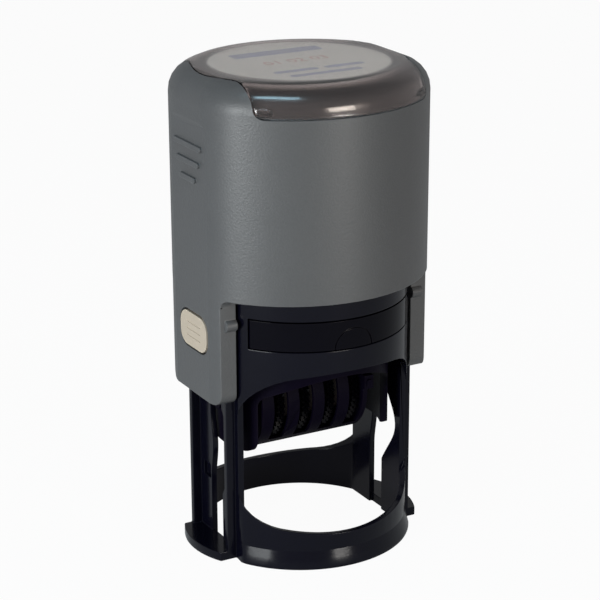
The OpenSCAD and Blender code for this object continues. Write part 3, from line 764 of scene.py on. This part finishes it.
# what a piece needs besides, before its edges are broken, after that, and after it is shaded
firstMoves = {"frameBody": spreadFlare, "capBody": weldTaper}
laterMoves = {"capBody": creasePanels, "coverLens": addClips}
lastMoves = {"capBody": shadeWall, "cassetteBody": shadeFront}


def buildMoulded(name):
    node, body, slot, paint, width, crease, clamp = moulded[name]
    piece = copyNode(node, name)
    if name in firstMoves:
        firstMoves[name](piece)
    softEdges(piece, width, angle=crease, clamp=clamp)
    if name in laterMoves:
        laterMoves[name](piece)
    evenShade(piece, crease)
    if name in lastMoves:
        lastMoves[name](piece)
    standFor(piece, body, slot, paint, node)


for pieceName in moulded:
    buildMoulded(pieceName)

# CAD nodes that are shown as they are

shown = {"pivot_pin_left": "pinSteel", "pivot_pin_right": "pinSteel", "wheel_shaft": "pinSteel",
         "band_bridge": "carrierBrown"}
for place in (1, 2, 3, 4):
    shown["date_wheel_%d" % place] = "wheelBrown"
    shown["date_band_%d" % place] = "bandRubber"
for nodeName, paintName in shown.items():
    nodes[nodeName].data.materials.clear()
    nodes[nodeName].data.materials.append(paints[paintName])
print("nodes painted:", len(shown))

# return spring

coil = {"turns": 8, "wire": 0.6 * mm, "sides": 14, "stepsPerTurn": 40, "seatTurns": 1.1,
        "seatPitch": 1.35 * mm, "crease": 50}


def buildSpring():
    low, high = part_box("return_spring")
    radius = high.x - coil["wire"]
    span = high.z - low.z - 2 * coil["wire"]
    pitch = span / coil["turns"]
    bpy.ops.object.select_all(action="DESELECT")
    bpy.ops.mesh.primitive_circle_add(vertices=coil["sides"], radius=coil["wire"], fill_type="NOTHING",
                                      location=(radius, 0, 0), rotation=(math.pi / 2, 0, 0))
    piece = bpy.context.object
    piece.name = "springCoil"
    applyPlace()
    wind = piece.modifiers.new("wind", "SCREW")
    wind.angle = coil["turns"] * math.tau
    wind.screw_offset = span
    wind.steps = coil["turns"] * coil["stepsPerTurn"]
    wind.render_steps = wind.steps
    wind.use_merge_vertices = False
    applyModifier(piece, wind)
    # the end turns lie close, as a wound spring's do, and the turns between share the rest
    seat = coil["seatTurns"] * pitch
    seatTall = coil["seatTurns"] * coil["seatPitch"]
    for vertex in piece.data.vertices:
        part = math.atan2(vertex.co.y, vertex.co.x) / math.tau
        along = (round(vertex.co.z / pitch - part) + part) * pitch
        offset = vertex.co.z - along
        if along < seat:
            lifted = along * seatTall / seat
        elif along > span - seat:
            lifted = span - (span - along) * seatTall / seat
        else:
            lifted = seatTall + (along - seat) * (span - 2 * seatTall) / (span - 2 * seat)
        vertex.co.z = lifted + offset + low.z + coil["wire"]
    # the wire's two ends are closed
    pick(piece)
    bpy.ops.object.mode_set(mode="EDIT")
    bpy.ops.mesh.select_mode(type="EDGE")
    bpy.ops.mesh.select_all(action="DESELECT")
    bpy.ops.mesh.select_non_manifold()
    bpy.ops.mesh.edge_face_add()
    bpy.ops.mesh.select_all(action="SELECT")
    bpy.ops.mesh.normals_make_consistent(inside=False)
    leaveEdit()
    evenShade(piece, coil["crease"])
    standFor(piece, "frame", "spring_steel", "springSteel", "return_spring")
    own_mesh(piece)


buildSpring()

# ink pad

felt = {"rounds": 96, "inset": 0.05 * mm, "edge": 0.45 * mm, "edgeSteps": 4, "edgeAngle": 40,
        "downward": -0.95, "rings": 6, "ringShare": 7.5, "crown": 0.18 * mm, "skin": 0.01 * mm, "crease": 60}


def buildFelt():
    low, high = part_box("ink_pad")
    radius = high.x - felt["inset"]
    bpy.ops.object.select_all(action="DESELECT")
    bpy.ops.mesh.primitive_cylinder_add(vertices=felt["rounds"], radius=radius, depth=high.z - low.z,
                                        location=(0, 0, (low.z + high.z) / 2))
    piece = bpy.context.object
    piece.name = "inkFelt"
    applyPlace()
    softEdges(piece, felt["edge"], felt["edgeSteps"], felt["edgeAngle"])
    # the underside is ringed and then crowned
    editWhere(piece, "FACE", lambda face: face.normal.z < felt["downward"])
    for ring in range(felt["rings"]):
        bpy.ops.mesh.inset(thickness=radius / felt["ringShare"], depth=0.0)
    bpy.ops.mesh.select_all(action="DESELECT")
    leaveEdit()
    flat = radius - felt["edge"]
    for vertex in piece.data.vertices:
        if vertex.co.z < low.z + felt["skin"]:
            reach = min(1.0, math.hypot(vertex.co.x, vertex.co.y) / flat)
            vertex.co.z -= felt["crown"] * (1 - reach ** 2)
    evenShade(piece, felt["crease"])
    standFor(piece, "cassette", "pad_felt", "padFelt", "ink_pad")


buildFelt()

# index card and the plain print on it

card = {
    "rounds": 128, "edge": 0.06 * mm, "edgeAngle": 40, "ink": 0.03 * mm, "sunk": 0.005 * mm,
    # middle, width and height of each bar, in millimetres
    "bars": [(0.0, 11.2, 23.0, 4.2), (-5.2, -8.0, 11.0, 2.0),
             (7.2, -8.0, 10.0, 2.0), (0.0, -12.6, 18.0, 2.0)],
    "barRound": 0.7 * mm, "barSteps": 5, "upright": 0.01 * mm,
    "digits": "01 02 03", "digitSize": 4.7 * mm, "digitPlace": (0.0, 1.2 * mm),
}


def buildCard():
    low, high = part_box("index_card")
    bpy.ops.object.select_all(action="DESELECT")
    bpy.ops.mesh.primitive_cylinder_add(vertices=card["rounds"], radius=high.x, depth=high.z - low.z,
                                        location=(0, 0, (low.z + high.z) / 2))
    piece = bpy.context.object
    piece.name = "indexCard"
    applyPlace()
    softEdges(piece, card["edge"], angle=card["edgeAngle"])
    evenShade(piece)
    standFor(piece, "cap", "card_paper", "cardPaper", "index_card")


def printBar(name, foot, x, y, wide, tall):
    bpy.ops.object.select_all(action="DESELECT")
    bpy.ops.mesh.primitive_cube_add(size=1, location=(x * mm, y * mm, foot + card["ink"] / 2))
    bar = bpy.context.object
    bar.name = name
    bar.scale = (wide * mm, tall * mm, card["ink"])
    applyPlace()

    def upright(edge):
        a, b = edgeEnds(bar.data, edge)
        return abs(a.z - b.z) > card["upright"]

    editWhere(bar, "EDGE", upright)
    bpy.ops.mesh.bevel(offset=card["barRound"], segments=card["barSteps"], affect="EDGES")
    leaveEdit()
    standFor(bar, "cap", "card_paper", "blueInk")


def printDigits(foot):
    bpy.ops.object.select_all(action="DESELECT")
    bpy.ops.object.text_add(location=(*card["digitPlace"], foot))
    digits = bpy.context.object
    digits.name = "cardDigits"
    digits.data.body = card["digits"]
    digits.data.size = card["digitSize"]
    digits.data.align_x = "CENTER"
    digits.data.align_y = "CENTER"
    digits.data.extrude = card["ink"] / 2
    bpy.ops.object.convert(target="MESH")
    digits = bpy.context.object
    applyPlace()
    editAll(digits)
    bpy.ops.mesh.remove_doubles(threshold=weldGap)
    leaveEdit()
    lowest = min(vertex.co.z for vertex in digits.data.vertices)
    for vertex in digits.data.vertices:
        vertex.co.z += foot - lowest
    standFor(digits, "cap", "card_paper", "redInk")


buildCard()
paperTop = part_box("index_card")[1].z - card["sunk"]
for number, bar in enumerate(card["bars"], 1):
    printBar("cardBar%d" % number, paperTop, *bar)
printDigits(paperTop)
